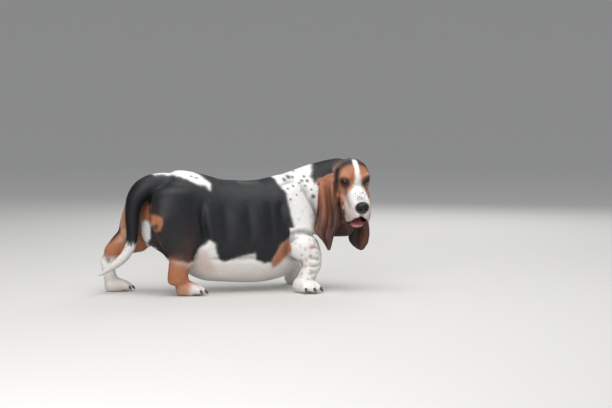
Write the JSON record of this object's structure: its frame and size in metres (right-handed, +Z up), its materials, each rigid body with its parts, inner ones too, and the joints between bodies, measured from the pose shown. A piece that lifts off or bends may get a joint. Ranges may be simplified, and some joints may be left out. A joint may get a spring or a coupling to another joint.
{
  "type": "basset hound figure",
  "caption": "Life-size still model of a tricolour basset hound in a slow walk, head turned to its right and mouth a little open, resting on the flat soles of its paws.",
  "frame": {"origin": "on the floor, under the middle of the box around the dog, with the soles at Z = 0", "axes": "+X from tail to head along the back, +Y to the dog's left, +Z up"},
  "size_m": [0.857, 0.4024, 0.4088],
  "materials": {
    "coat": "short smooth glossy hair, black saddle with white and tan areas",
    "coat_tan": "short smooth tan hair",
    "coat_white": "short smooth white hair with dark ticking",
    "nose": "moist pebbled nose leather",
    "tongue": "wet soft flesh",
    "eye": "wet brown eye with a clear glossy cornea",
    "claw": "smooth dark horn"
  },
  "bodies": {
    "root": {"torso": "coat", "neck": "coat_white", "head": "coat_tan", "tail": "coat_white", "hind_leg_right": "coat", "hind_leg_left": "coat", "foreleg_right": "coat_white", "foreleg_left": "coat_white", "ear_right": "coat_tan", "ear_left": "coat_tan", "eye_right": "eye", "eye_left": "eye", "nose": "nose", "tongue": "tongue", "claw_hind_right_1": "claw", "claw_hind_right_2": "claw", "claw_hind_right_3": "claw", "claw_hind_right_4": "claw", "claw_hind_left_1": "claw", "claw_hind_left_2": "claw", "claw_hind_left_3": "claw", "claw_hind_left_4": "claw", "claw_fore_right_1": "claw", "claw_fore_right_2": "claw", "claw_fore_right_3": "claw", "claw_fore_right_4": "claw", "claw_fore_left_1": "claw", "claw_fore_left_2": "claw", "claw_fore_left_3": "claw", "claw_fore_left_4": "claw"}
  },
  "joints": []
}
